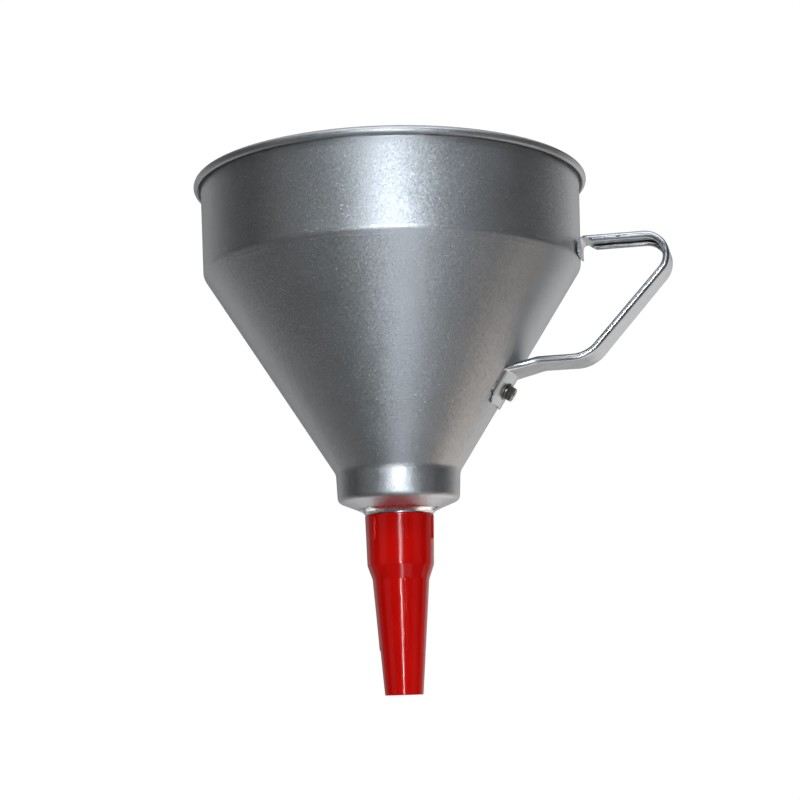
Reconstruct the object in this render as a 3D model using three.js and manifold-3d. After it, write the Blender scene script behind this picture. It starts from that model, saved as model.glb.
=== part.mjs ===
// Fuel funnel with a push-on plastic spout, a strap handle and a lift-out strainer.
// Millimetres. The funnel's axis is Z, the spout's tip is at z = 0 and the handle points along +X.
import * as THREE from "three";
import { mergeVertices } from "three/addons/utils/BufferGeometryUtils.js";
import Module from "manifold-3d";

const wasm = await Module();
wasm.setup();

// ---- driving dimensions -------------------------------------------------------------------------

const GAP = 0.3; // between pieces that touch

// Bowl. Radii are of the middle of the sheet, except the rim's, which is over its curl.
const SHEET = 0.7;
const RIM_R = 100;
const RIM_Z = 257; // height of the curl's centre
const CURL_R = 1.75;
const CURL_END = -75; // degrees round the curl, where its lip stops short of the band
const BAND_TOP_R = RIM_R - SHEET / 2 - 2 * CURL_R;
const BAND_FOOT_R = 95.25;
const BAND_FOOT_Z = 212;
const BAND_CORNER = 4.5;
const COLLAR_TOP_R = 30.85;
const COLLAR_TOP_Z = 110.2;
const COLLAR_TOP_CORNER = 7;
const COLLAR_FOOT_R = 30.2;
const COLLAR_FOOT_Z = 96.25;
const COLLAR_FOOT_CORNER = 3;
const SHOULDER_RISE = 0.412; // height gained per unit of radius
const CONE_RISE = (BAND_FOOT_R - COLLAR_TOP_R) / (BAND_FOOT_Z - COLLAR_TOP_Z); // radius per height

// Outlet neck.
const NECK_R = 15.15;
const NECK_WALL = 0.8;
const NECK_FOOT_Z = 66.5;
const NECK_FLARE_R = 18.4;
const SOLDER_R = 20.4;

// Spout.
const TIP_R = 9.5;
const TIP_WALL = 1.5;
const TAPER_TOP_R = 14;
const TAPER_TOP_Z = 56.6;
const TAPER_TOP_CORNER = 3;
const SLEEVE_FOOT_R = 16.6;
const SLEEVE_FOOT_Z = 64;
const SLEEVE_FOOT_CORNER = 4;
const SLEEVE_TOP_R = 17.2;
const SLEEVE_TOP_Z = 88.8;
const SOCKET_CLEARANCE = 0.08; // radial, so that the spout pushes on by hand
const SOCKET_FLOOR_Z = NECK_FOOT_Z - GAP;
const SOCKET_LEAD_IN = 0.8;
const RIB_WIDTH = 2.4;
const RIB_AZIMUTH = -66; // degrees, of the rib that the others are counted from
const SHORT_RIBS = 6;
const SHORT_RIB_Z = [76, 88.3];
const SHORT_RIB_HEIGHT = 0.7;
const LONG_RIBS = 3;
const LONG_RIB_Z = [21.5, 61];
const LONG_RIB_HEIGHT = 0.8;

// Handle: a flat web with a bead rolled along each edge. Its route follows the centre of the beads.
const WEB = 0.9;
const BEAD_R = 1.7;
const STRAP_WIDTH = 23.4; // bead to bead, at the lower arm
const STRAP_WIDTH_TOP = 17.9;
const FOOT_X = 97.8;
const FOOT_Z = 213;
const FOOT_CORNER = 1.6;
const UPPER_ARM_Z = 220.2;
const GRIP_TOP_X = 153.4; // where the grip's line meets the upper arm's
const GRIP_TOP_CORNER = 10.9;
const LOWER_ARM_Z = 160.8;
const GRIP_FOOT_X = 99; // where the grip's line meets the lower arm's
const GRIP_FOOT_CORNER = 17;
const ARM_BREAK_X = 74.5; // from here the lower arm slopes down to the cone
const ARM_BREAK_CORNER = 12;
const TAB_TOP_X = 60.5;
const TAB_TOP_Z = 157.3;
const TAB_CORNER = 3.2;
const TAB_END_Z = 141.4;
const TAB_FLARE = 0.35; // the tab is wider than the strap above it by this share
const TAB_ROUND_FROM_X = 72; // from here to the tab the strap takes the cone's roundness
const BEAD_START_X = 100.6;
const BEAD_END_X = 64.5;

// Lower fastening, on the cone's normal at this height.
const SCREW_Z = 148.5;
const SCREW_R = 2;
const HOLE_R = SCREW_R + GAP;
const HEAD_R = 4;
const HEAD_HEIGHT = 2.8;
const HEAD_EDGE = 0.8; // straight part of the head, below its dome
const SEAL_R = 5;
const SEAL_THICK = 1;
const WASHER_R = 4.5;
const WASHER_THICK = 0.8;
const NUT_FLATS = 7;
const NUT_HEIGHT = 3.2;
const SCREW_END = 0.5; // thread that shows past the nut
const SCREW_CHAMFER = 0.4;
const SLOT_WIDTH = 1;
const SLOT_DEPTH = 1;

// Strainer: it stands on the shoulder inside the collar.
const STRAINER_R = 28.4;
const STRAINER_Z = 96.5;
const RING_WALL = 0.8;
const RING_HEIGHT = 10;
const LEDGE_R = 24.2;
const GAUZE_THICK = 0.5;
const CLAMP_HEIGHT = 6;
const WIRE_R = 0.8;
const PIVOT_Z = 105.6;
const PIVOT_CLEARANCE = 0.1; // radial
const BRACKET_WIDTH = 7;
const BRACKET_THICK = 0.8;
const BRACKET_Y = 25.1; // inner face
const BAIL_REACH = 23.6;
const BAIL_DROP = 15.5; // degrees below level, where the bail rests on the gauze
const BAIL_BOW = 20; // radius of its two large corners
const BAIL_BEND = 1.3; // radius where it turns outwards to its pivots
const BAIL_SIDE_PLAY = 0.15; // between the bail's leg and the bracket
const PIN_END = 0.8; // pivot that shows past the bracket

const AROUND = 64; // sides of the large turned pieces
const AROUND_SMALL = 48;
const AROUND_FASTENER = 24;
const AROUND_WIRE = 12;
const WEB_STRIPS = 10;
const STRIP_LAP = 0.05; // of a strip's width, over the next one
const BEND_STEP = 14; // degrees of a bend to each straight piece of it

// ---- helpers ------------------------------------------------------------------------------------

const deg = THREE.MathUtils.degToRad;
const point = (r, z) => new THREE.Vector2(r, z);

// Points of an arc from one angle to another, in degrees.
function arc(centre, radius, from, to, steps) {
  return Array.from({ length: steps + 1 }, (_, i) => {
    const a = deg(from + ((to - from) * i) / steps);
    return point(centre.x + radius * Math.cos(a), centre.y + radius * Math.sin(a));
  });
}

// The corner at b of the line a-b-c, rounded.
function corner(a, b, c, radius, steps = 3) {
  const back = a.clone().sub(b).normalize();
  const on = c.clone().sub(b).normalize();
  const half = back.angleTo(on) / 2;
  const reach = radius / Math.tan(half);
  const bisector = back.clone().add(on).normalize();
  const centre = bisector.multiplyScalar(radius / Math.sin(half)).add(b);
  const start = back.multiplyScalar(reach).add(b).sub(centre);
  const end = on.multiplyScalar(reach).add(b).sub(centre);
  const turn = Math.atan2(start.cross(end), start.dot(end));
  return Array.from({ length: steps + 1 }, (_, i) =>
    start.clone().rotateAround(new THREE.Vector2(), (turn * i) / steps).add(centre),
  );
}

// The direction of a line at each of its points.
function directions(line) {
  const last = line.length - 1;
  return line.map((_, i) => line[Math.min(i + 1, last)].clone().sub(line[Math.max(i - 1, 0)]).normalize());
}

// A sheet's closed outline: its middle line moved half a thickness to each side.
function sheetOutline(line, thickness) {
  const across = directions(line).map((t) => point(-t.y, t.x).multiplyScalar(thickness / 2));
  const side = (sign) => line.map((p, i) => p.clone().addScaledVector(across[i], sign));
  return [...side(1), ...side(-1).reverse()];
}

// A closed outline of (radius, height) points, anticlockwise, turned about Z.
function turned(outline, sides) {
  const area = outline.reduce((sum, p, i) => sum + p.cross(outline[(i + 1) % outline.length]), 0);
  const ordered = area > 0 ? outline : [...outline].reverse();
  return new THREE.LatheGeometry([...ordered, ordered[0]], sides).rotateX(Math.PI / 2);
}

// A closed outline drawn from the axis out and back to it, turned about Z.
function turnedSolid(outline, sides) {
  return new THREE.LatheGeometry(outline, sides).rotateX(Math.PI / 2);
}

function toSolid(geometry) {
  const bare = new THREE.BufferGeometry().setAttribute("position", geometry.getAttribute("position"));
  if (geometry.index) bare.setIndex(geometry.index);
  const merged = mergeVertices(bare, 1e-4);
  const vertProperties = merged.attributes.position.array;
  const triVerts = new Uint32Array(merged.index.array);
  return new wasm.Manifold(new wasm.Mesh({ numProp: 3, vertProperties, triVerts }));
}

function toGeometry(solid) {
  const mesh = solid.getMesh();
  const geometry = new THREE.BufferGeometry();
  geometry.setAttribute("position", new THREE.BufferAttribute(new Float32Array(mesh.vertProperties), 3));
  geometry.setIndex(new THREE.BufferAttribute(new Uint32Array(mesh.triVerts), 1));
  const flat = geometry.toNonIndexed();
  flat.computeVertexNormals();
  return flat;
}

const joined = (...geometries) => toGeometry(wasm.Manifold.union(geometries.map(toSolid)));
const cut = (geometry, tool) => toGeometry(toSolid(geometry).subtract(toSolid(tool)));

// Radius of the bowl's outer face at a height on the cone.
const HALF_SHEET_ACROSS = (SHEET / 2) * Math.hypot(1, CONE_RISE); // half the sheet, measured level
const coneOuterR = (z) => COLLAR_TOP_R + (z - COLLAR_TOP_Z) * CONE_RISE + HALF_SHEET_ACROSS;

// A frame whose +Z is the cone's outward normal at the screw, and whose origin is on the cone's outer face.
const CONE_ANGLE = Math.atan(CONE_RISE);
const atScrew = new THREE.Matrix4()
  .makeTranslation(coneOuterR(SCREW_Z), 0, SCREW_Z)
  .multiply(new THREE.Matrix4().makeRotationY(Math.PI / 2 + CONE_ANGLE));

// A solid cylinder on Z, from one height to another.
function rod(radius, from, to, sides) {
  const upright = new THREE.CylinderGeometry(radius, radius, to - from, sides).rotateX(Math.PI / 2);
  return upright.translate(0, 0, (from + to) / 2);
}

function ring(inner, outer, from, to, sides) {
  return turned([point(inner, from), point(outer, from), point(outer, to), point(inner, to)], sides);
}

// The screw's hole, to be cut from the cone and from the handle's tab.
const screwHole = () => rod(HOLE_R, -2 * SHEET, 3 * BEAD_R, AROUND_FASTENER).applyMatrix4(atScrew);

// ---- bowl and neck ------------------------------------------------------------------------------

// Height of the middle of the shoulder's sheet.
const shoulderZ = (r) => COLLAR_FOOT_Z - (COLLAR_FOOT_R - r) * SHOULDER_RISE;

function bowl() {
  const hole = point(NECK_R + GAP, shoulderZ(NECK_R + GAP));
  const collarFoot = point(COLLAR_FOOT_R, COLLAR_FOOT_Z);
  const collarTop = point(COLLAR_TOP_R, COLLAR_TOP_Z);
  const bandFoot = point(BAND_FOOT_R, BAND_FOOT_Z);
  const bandTop = point(BAND_TOP_R, RIM_Z);
  const curlCentre = point(BAND_TOP_R + CURL_R, RIM_Z);
  const line = [
    hole,
    ...corner(hole, collarFoot, collarTop, COLLAR_FOOT_CORNER),
    ...corner(collarFoot, collarTop, bandFoot, COLLAR_TOP_CORNER),
    ...corner(collarTop, bandFoot, bandTop, BAND_CORNER),
    ...arc(curlCentre, CURL_R, 180, CURL_END, 8),
  ];
  const shell = turned(sheetOutline(line, SHEET), AROUND);
  return cut(shell, screwHole());
}

function neck() {
  const inner = NECK_R - NECK_WALL;
  const flareFootZ = shoulderZ(NECK_R) + SHEET + GAP;
  const flareTopZ = flareFootZ + (NECK_FLARE_R - NECK_R) * SHOULDER_RISE;
  return turned(
    [
      point(inner, NECK_FOOT_Z),
      point(NECK_R, NECK_FOOT_Z),
      point(NECK_R, flareFootZ),
      point(NECK_FLARE_R, flareTopZ),
      point(NECK_FLARE_R, flareTopZ + NECK_WALL),
      point(inner, flareFootZ + NECK_WALL),
    ],
    AROUND_SMALL,
  );
}

// The concave fillet of solder in the corner between the neck and the underside of the shoulder.
function neckSolder() {
  const underside = (r) => shoulderZ(r) - (SHEET / 2) * Math.hypot(1, SHOULDER_RISE) - GAP;
  const foot = SLEEVE_TOP_Z + GAP;
  const bend = point(SLEEVE_TOP_R, underside(SLEEVE_TOP_R));
  const outer = point(SOLDER_R, underside(SOLDER_R));
  const fillet = new THREE.QuadraticBezierCurve(point(SLEEVE_TOP_R, foot), bend, outer);
  const inner = NECK_R + GAP;
  return turned([point(inner, foot), ...fillet.getPoints(5), point(inner, underside(inner))], AROUND_SMALL);
}

// ---- spout --------------------------------------------------------------------------------------

// A raised bar with round ends along the spout's face, at azimuth 0. Its face stands proud by height.
function rib([z0, z1], radiusAt, height) {
  const half = RIB_WIDTH / 2;
  const foot = point(radiusAt(z0), z0);
  const top = point(radiusAt(z1), z1);
  const length = foot.distanceTo(top);
  const outline = new THREE.Shape();
  outline.absarc(0, half, half, Math.PI, 2 * Math.PI, false);
  outline.absarc(0, length - half, half, 0, Math.PI, false);
  const depth = height + TIP_WALL / 2;
  const bar = new THREE.ExtrudeGeometry(outline, { depth, bevelEnabled: false, curveSegments: 6 });
  bar.rotateX(Math.PI / 2).rotateZ(Math.PI / 2); // outline's x to Y, its y to Z, depth to +X
  bar.translate(-TIP_WALL / 2, 0, 0);
  bar.rotateY(Math.atan2(top.x - foot.x, top.y - foot.y));
  return bar.translate(foot.x, 0, foot.y);
}

const spread = (geometry, count) =>
  Array.from({ length: count }, (_, i) => geometry.clone().rotateZ(deg(RIB_AZIMUTH + (360 * i) / count)));

function spout() {
  const socket = NECK_R + SOCKET_CLEARANCE;
  const tip = point(TIP_R, 0);
  const taperTop = point(TAPER_TOP_R, TAPER_TOP_Z);
  const sleeveFoot = point(SLEEVE_FOOT_R, SLEEVE_FOOT_Z);
  const sleeveTop = point(SLEEVE_TOP_R, SLEEVE_TOP_Z);
  const outline = [
    tip,
    ...corner(tip, taperTop, sleeveFoot, TAPER_TOP_CORNER),
    ...corner(taperTop, sleeveFoot, sleeveTop, SLEEVE_FOOT_CORNER),
    sleeveTop,
    point(socket + SOCKET_LEAD_IN, SLEEVE_TOP_Z),
    point(socket, SLEEVE_TOP_Z - SOCKET_LEAD_IN),
    point(socket, SOCKET_FLOOR_Z),
    point(NECK_R - NECK_WALL - GAP, SOCKET_FLOOR_Z),
    point(TAPER_TOP_R - TIP_WALL, TAPER_TOP_Z),
    point(TIP_R - TIP_WALL, 0),
  ];
  const radiusBetween = (low, high) => (z) => THREE.MathUtils.mapLinear(z, low.y, high.y, low.x, high.x);
  const taperR = radiusBetween(tip, taperTop);
  const sleeveR = radiusBetween(sleeveFoot, sleeveTop);
  return joined(
    turned(outline, AROUND_SMALL),
    ...spread(rib(SHORT_RIB_Z, sleeveR, SHORT_RIB_HEIGHT), SHORT_RIBS),
    ...spread(rib(LONG_RIB_Z, taperR, LONG_RIB_HEIGHT), LONG_RIBS),
  );
}

// ---- handle -------------------------------------------------------------------------------------

// A route in the XZ plane: straight lines with rounded corners, each corner as [x, z, radius].
function route(start, corners, end) {
  const stops = [start, ...corners, end].map(([x, z]) => point(x, z));
  const line = [stops[0]];
  corners.forEach(([, , radius], i) => {
    const [a, b, c] = stops.slice(i, i + 3);
    const turn = Math.PI - a.clone().sub(b).angleTo(c.clone().sub(b));
    line.push(...corner(a, b, c, radius, Math.max(2, Math.ceil(turn / deg(BEND_STEP)))));
  });
  return [...line, stops.at(-1)];
}

// A curve for extrudePath that gives back the route's own points, and keeps the section from twisting.
class PlaneRoute extends THREE.Curve {
  constructor(line) {
    super();
    this.line = line.map((p) => new THREE.Vector3(p.x, 0, p.y));
  }
  getSpacedPoints() {
    return this.line;
  }
  computeFrenetFrames() {
    const tangents = directions(this.line);
    const normals = tangents.map(() => new THREE.Vector3(0, 1, 0));
    return { tangents, normals, binormals: tangents.map((t, i) => t.clone().cross(normals[i])) };
  }
}

// A section swept along a route. The section's x lies along Y, and its y to the left of the way along.
function swept(section, line) {
  const shape = new THREE.Shape(section);
  const extrudePath = new PlaneRoute(line);
  return new THREE.ExtrudeGeometry(shape, { steps: line.length - 1, extrudePath });
}

// The strap is wider at its lower arm: every point moves outwards by its share of the extra width.
function widened(geometry) {
  const place = geometry.attributes.position;
  const narrowing = (STRAP_WIDTH - STRAP_WIDTH_TOP) / (UPPER_ARM_Z - LOWER_ARM_Z);
  for (let i = 0; i < place.count; i++) {
    const width = STRAP_WIDTH - (Math.max(place.getZ(i), LOWER_ARM_Z) - LOWER_ARM_Z) * narrowing;
    place.setY(i, place.getY(i) + (Math.sign(place.getY(i)) * (width - STRAP_WIDTH)) / 2);
  }
  return geometry;
}

// The strap's lower end flares and wraps round the cone.
function wrapped(geometry) {
  const place = geometry.attributes.position;
  for (let i = 0; i < place.count; i++) {
    const x = place.getX(i);
    const share = 1 - THREE.MathUtils.smoothstep(x, TAB_TOP_X, TAB_ROUND_FROM_X);
    const y = place.getY(i) * (1 + TAB_FLARE * share);
    place.setXY(i, x - share * (x - Math.sqrt(x * x - y * y)), y);
  }
  return geometry;
}

// The section of a wire or a bead, centred at (x, 0).
const roundSection = (x, radius) => arc(point(x, 0), radius, 0, 360 - 360 / AROUND_WIRE, AROUND_WIRE - 1);

function handle() {
  const alongCone = (z) => [TAB_TOP_X - (TAB_TOP_Z - z) * CONE_RISE, z];
  const footCorner = [FOOT_X, UPPER_ARM_Z, FOOT_CORNER];
  const gripAndArm = [
    [GRIP_TOP_X, UPPER_ARM_Z, GRIP_TOP_CORNER],
    [GRIP_FOOT_X, LOWER_ARM_Z, GRIP_FOOT_CORNER],
    [ARM_BREAK_X, LOWER_ARM_Z, ARM_BREAK_CORNER],
    [TAB_TOP_X, TAB_TOP_Z, TAB_CORNER],
  ];
  const webLine = route([FOOT_X, FOOT_Z], [footCorner, ...gripAndArm], alongCone(TAB_END_Z));
  const armSlope = (LOWER_ARM_Z - TAB_TOP_Z) / (ARM_BREAK_X - TAB_TOP_X);
  const beadEnd = [BEAD_END_X, TAB_TOP_Z + (BEAD_END_X - TAB_TOP_X) * armSlope];
  const beadLine = route([BEAD_START_X, UPPER_ARM_Z], gripAndArm.slice(0, -1), beadEnd);
  const half = STRAP_WIDTH / 2;
  const inner = BEAD_R - WEB;
  // The web is made in narrow strips side by side, so that its wrapped end is smooth.
  const strip = (i) => {
    const [a, b] = [i, i + 1 + STRIP_LAP].map((k) => STRAP_WIDTH * (k / WEB_STRIPS - 0.5));
    return swept([point(a, inner), point(b, inner), point(b, BEAD_R), point(a, BEAD_R)], webLine);
  };
  const bead = (y) => swept(roundSection(y, BEAD_R), beadLine);
  const pieces = [...[...Array(WEB_STRIPS).keys()].map(strip), bead(-half), bead(half)];
  const strap = joined(...pieces.map(widened).map(wrapped));
  return cut(strap, screwHole());
}

// ---- fastener at the handle's lower tab ---------------------------------------------------------

// Heights along the screw, from the cone's outer face outwards.
const WEB_OUTER_H = (TAB_TOP_X - coneOuterR(TAB_TOP_Z)) * Math.cos(CONE_ANGLE) + BEAD_R;
const WASHER_H = WEB_OUTER_H + GAP;
const NUT_H = WASHER_H + WASHER_THICK + GAP;
const SCREW_TOP_H = NUT_H + NUT_HEIGHT + SCREW_END;
const SEAL_H = -SHEET - 2 * GAP - SEAL_THICK;
const HEAD_H = SEAL_H - GAP;

function handleScrew() {
  const domeHeight = HEAD_HEIGHT - HEAD_EDGE;
  const dome = new THREE.EllipseCurve(0, HEAD_H - HEAD_EDGE, HEAD_R, domeHeight, -Math.PI / 2, 0);
  const outline = [
    ...dome.getPoints(5),
    point(HEAD_R, HEAD_H),
    point(SCREW_R, HEAD_H),
    point(SCREW_R, SCREW_TOP_H - SCREW_CHAMFER),
    point(SCREW_R - SCREW_CHAMFER, SCREW_TOP_H),
    point(0, SCREW_TOP_H),
  ];
  const slot = new THREE.BoxGeometry(3 * HEAD_R, SLOT_WIDTH, 2 * SLOT_DEPTH);
  slot.translate(0, 0, HEAD_H - HEAD_HEIGHT);
  return cut(turnedSolid(outline, AROUND_FASTENER), slot).applyMatrix4(atScrew);
}

function washer(radius, foot, thickness) {
  return ring(HOLE_R, radius, foot, foot + thickness, AROUND_FASTENER).applyMatrix4(atScrew);
}

function hexNut() {
  const cornerR = NUT_FLATS / Math.sqrt(3);
  const blank = rod(cornerR, NUT_H, NUT_H + NUT_HEIGHT, 6);
  const bore = rod(HOLE_R, WASHER_H, SCREW_TOP_H, AROUND_FASTENER);
  return cut(blank, bore).applyMatrix4(atScrew);
}

// ---- strainer -----------------------------------------------------------------------------------

const GAUZE_Z = STRAINER_Z + RING_WALL + GAP;
const CLAMP_Z = GAUZE_Z + GAUZE_THICK + GAP;
const RING_INNER_R = STRAINER_R - RING_WALL;
const CLAMP_R = RING_INNER_R - GAP;

function strainerRing() {
  return turned(
    [
      point(LEDGE_R, STRAINER_Z),
      point(STRAINER_R, STRAINER_Z),
      point(STRAINER_R, STRAINER_Z + RING_HEIGHT),
      point(RING_INNER_R, STRAINER_Z + RING_HEIGHT),
      point(RING_INNER_R, STRAINER_Z + RING_WALL),
      point(LEDGE_R, STRAINER_Z + RING_WALL),
    ],
    AROUND_SMALL,
  );
}

const strainerGauze = () => rod(CLAMP_R, GAUZE_Z, GAUZE_Z + GAUZE_THICK, AROUND_SMALL);
const clampRing = () => ring(CLAMP_R - RING_WALL, CLAMP_R, CLAMP_Z, CLAMP_Z + CLAMP_HEIGHT, AROUND_SMALL);

function bailBracket(side) {
  const half = BRACKET_WIDTH / 2;
  const outline = new THREE.Shape();
  outline.moveTo(-half, CLAMP_Z + GAP);
  outline.lineTo(half, CLAMP_Z + GAP);
  outline.absarc(0, PIVOT_Z, half, 0, Math.PI, false);
  outline.holes.push(new THREE.Path().absarc(0, PIVOT_Z, WIRE_R + PIVOT_CLEARANCE, 0, 2 * Math.PI, true));
  const options = { depth: BRACKET_THICK, bevelEnabled: false, curveSegments: 10 };
  const plate = new THREE.ExtrudeGeometry(outline, options).rotateX(Math.PI / 2); // depth is now along -Y
  return plate.translate(0, side > 0 ? BRACKET_Y + BRACKET_THICK : -BRACKET_Y, 0);
}

// A wire bow with its ends turned outwards through the brackets.
function strainerBail() {
  const legY = BRACKET_Y - WIRE_R - BAIL_SIDE_PLAY;
  const pinY = BRACKET_Y + BRACKET_THICK + PIN_END;
  const corners = [
    [0, -legY, BAIL_BEND],
    [-BAIL_REACH, -legY, BAIL_BOW],
    [-BAIL_REACH, legY, BAIL_BOW],
    [0, legY, BAIL_BEND],
  ];
  const upright = swept(roundSection(0, WIRE_R), route([0, -pinY], corners, [0, pinY]));
  return upright.rotateX(Math.PI / 2).rotateY(deg(-BAIL_DROP)).translate(0, 0, PIVOT_Z);
}

// ---- the object ---------------------------------------------------------------------------------

// Colour, roughness and metalness.
const FINISHES = {
  silver: [0xa9abad, 0.42, 0.85],
  zinc: [0xd4d8dc, 0.2, 1],
  tin: [0xc9ccd0, 0.3, 1],
  plastic: [0xb01208, 0.3, 0],
  darkZinc: [0x6f6a60, 0.4, 1],
  fibre: [0x2b2522, 0.8, 0],
  brass: [0xb5914a, 0.35, 1],
};

function part(name, geometry, finish) {
  const [color, roughness, metalness] = FINISHES[finish];
  const mesh = new THREE.Mesh(geometry, new THREE.MeshStandardMaterial({ color, roughness, metalness }));
  mesh.name = name;
  return mesh;
}

const funnel = new THREE.Group();
funnel.add(
  part("funnel_bowl", bowl(), "silver"),
  part("neck_tube", neck(), "tin"),
  part("neck_solder", neckSolder(), "tin"),
  part("spout", spout(), "plastic"),
  part("handle", handle(), "zinc"),
  part("handle_screw", handleScrew(), "zinc"),
  part("seal_washer", washer(SEAL_R, SEAL_H, SEAL_THICK), "fibre"),
  part("flat_washer", washer(WASHER_R, WASHER_H, WASHER_THICK), "darkZinc"),
  part("hex_nut", hexNut(), "darkZinc"),
  part("strainer_ring", strainerRing(), "brass"),
  part("strainer_gauze", strainerGauze(), "brass"),
  part("strainer_clamp_ring", clampRing(), "brass"),
  part("bail_bracket_left", bailBracket(1), "brass"),
  part("bail_bracket_right", bailBracket(-1), "brass"),
  part("strainer_bail", strainerBail(), "brass"),
);

export default funnel;
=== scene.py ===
"""The looks of the fuel funnel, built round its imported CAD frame.

Shapes are worked out in millimetres in the row frame and become metres when a mesh is made.
"""

import math

import bmesh
import bpy
from mathutils import Matrix, Vector, noise


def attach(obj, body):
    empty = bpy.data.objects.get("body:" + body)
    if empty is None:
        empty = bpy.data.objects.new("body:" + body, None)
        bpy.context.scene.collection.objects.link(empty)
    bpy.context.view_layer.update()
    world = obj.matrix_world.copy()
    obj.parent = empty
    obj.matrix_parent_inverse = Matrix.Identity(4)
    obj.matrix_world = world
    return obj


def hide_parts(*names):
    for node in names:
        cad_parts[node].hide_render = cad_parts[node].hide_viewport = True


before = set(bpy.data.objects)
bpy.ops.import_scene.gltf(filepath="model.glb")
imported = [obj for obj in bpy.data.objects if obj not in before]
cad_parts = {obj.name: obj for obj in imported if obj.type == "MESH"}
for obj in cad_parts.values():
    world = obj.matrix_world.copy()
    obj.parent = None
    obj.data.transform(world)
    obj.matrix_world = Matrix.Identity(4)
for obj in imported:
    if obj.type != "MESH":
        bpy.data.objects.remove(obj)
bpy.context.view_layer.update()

MM = 0.001

# ---- sizes: the CAD part's, except the handle's WEB, BEAD_START_X and TAB_FLARE ------------------

SHEET = 0.7
RIM_R, RIM_Z, CURL_R, CURL_END = 100.0, 257.0, 1.75, -75.0
BAND_TOP_R = RIM_R - SHEET / 2 - 2 * CURL_R
# corners of the bowl's and the spout's outlines: radius and height, then how round the corner is
BAND_FOOT, BAND_CORNER = (95.25, 212.0), 4.5
COLLAR_TOP, COLLAR_TOP_CORNER = (30.85, 110.2), 7.0
COLLAR_FOOT, COLLAR_FOOT_CORNER = (30.2, 96.25), 3.0
SHOULDER_RISE = 0.412
CONE_RISE = (BAND_FOOT[0] - COLLAR_TOP[0]) / (BAND_FOOT[1] - COLLAR_TOP[1])
CONE_ANGLE = math.atan(CONE_RISE)

NECK_R, NECK_WALL, NECK_FOOT_Z, NECK_FLARE_R = 15.15, 0.8, 66.5, 18.4
SOLDER_R = 20.4
GAP = 0.3

TIP_R, TIP_WALL = 9.5, 1.5
TAPER_TOP, TAPER_TOP_CORNER = (14.0, 56.6), 3.0
SLEEVE_FOOT, SLEEVE_FOOT_CORNER = (16.6, 64.0), 4.0
SLEEVE_TOP, SLEEVE_TOP_CORNER = (17.2, 88.8), 0.45
SOCKET_R, SOCKET_LEAD_IN, SOCKET_FLOOR_Z = NECK_R + 0.08, 0.8, NECK_FOOT_Z - GAP
RIB_AZIMUTH, RIB_WIDTH, RIB_FLANK = -66.0, 2.4, 0.55
SHORT_RIBS, SHORT_RIB_Z, SHORT_RIB_HEIGHT = 6, (76.0, 88.3), 0.7
LONG_RIBS, LONG_RIB_Z, LONG_RIB_HEIGHT = 3, (21.5, 61.0), 0.8

WEB, BEAD_R, CURL_WALL = 0.8, 1.7, 0.75
STRAP_WIDTH, STRAP_WIDTH_TOP = 23.4, 17.9
UPPER_ARM_Z, LOWER_ARM_Z = 220.2, 160.8
FOOT, FOOT_CORNER = (97.8, 213.0), 1.6
GRIP_TOP, GRIP_TOP_CORNER = (153.4, UPPER_ARM_Z), 10.9
GRIP_FOOT, GRIP_FOOT_CORNER = (99.0, LOWER_ARM_Z), 17.0
ARM_BREAK, ARM_BREAK_CORNER = (74.5, LOWER_ARM_Z), 12.0
TAB_TOP, TAB_CORNER = (60.5, 157.3), 3.2
TAB_END_Z, HEM_END_Z, BEAD_START_X = 141.4, 145.2, 98.9
TAB_FLARE, TAB_ROUND_FROM_X = 0.12, 72.0
HEM, HEM_SPREAD, HEM_FROM_X = 0.17, 0.6, 66.0  # the rolls pressed flat: their thickness and spread

SCREW_Z, SCREW_R, THREAD_PITCH, THREAD_DEPTH = 148.5, 2.0, 0.7, 0.38
HEAD_R, HEAD_HEIGHT, HEAD_EDGE, SLOT_WIDTH, SLOT_DEPTH = 4.0, 2.8, 0.8, 1.0, 1.0
SEAL_R, SEAL_THICK = 5.0, 1.0
WASHER_R, WASHER_THICK = 4.5, 0.8
NUT_FLATS, NUT_HEIGHT, NUT_CHAMFER, SCREW_END = 7.0, 3.2, 28.0, 0.5

STRAINER_R, STRAINER_Z, RING_WALL, RING_HEIGHT, LEDGE_R = 28.4, 96.5, 0.8, 10.0, 24.2
GAUZE_Z, CLAMP_Z, CLAMP_HEIGHT = 97.85, 98.4, 6.0
WIRE_R, PIVOT_Z, BRACKET_WIDTH, BRACKET_THICK, BRACKET_Y = 0.8, 105.6, 7.0, 0.8, 25.1
BAIL_REACH, BAIL_DROP, BAIL_BOW, BAIL_BEND = 23.6, 15.5, 20.0, 1.3


# ---- outlines ------------------------------------------------------------------------------------


def rounded(corners, closed=True, step=9.0):
    """Points of a line through corners (x, z, radius), each one rounded in steps of a few degrees."""
    line = []
    for i, (x, z, radius) in enumerate(corners):
        if not radius or (not closed and i in (0, len(corners) - 1)):
            line.append((x, z))
            continue
        here = Vector((x, z))
        back = (Vector(corners[i - 1][:2]) - here).normalized()
        on = (Vector(corners[(i + 1) % len(corners)][:2]) - here).normalized()
        half = back.angle(on) / 2
        centre = here + (back + on).normalized() * (radius / math.sin(half))
        start = here + back * (radius / math.tan(half)) - centre
        end = here + on * (radius / math.tan(half)) - centre
        turn = math.atan2(start.x * end.y - start.y * end.x, start.dot(end))
        count = max(1, math.ceil(abs(math.degrees(turn)) / step))
        for k in range(count + 1):
            a = turn * k / count
            c, s = math.cos(a), math.sin(a)
            line.append((centre.x + c * start.x - s * start.y, centre.y + s * start.x + c * start.y))
    return line


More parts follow.
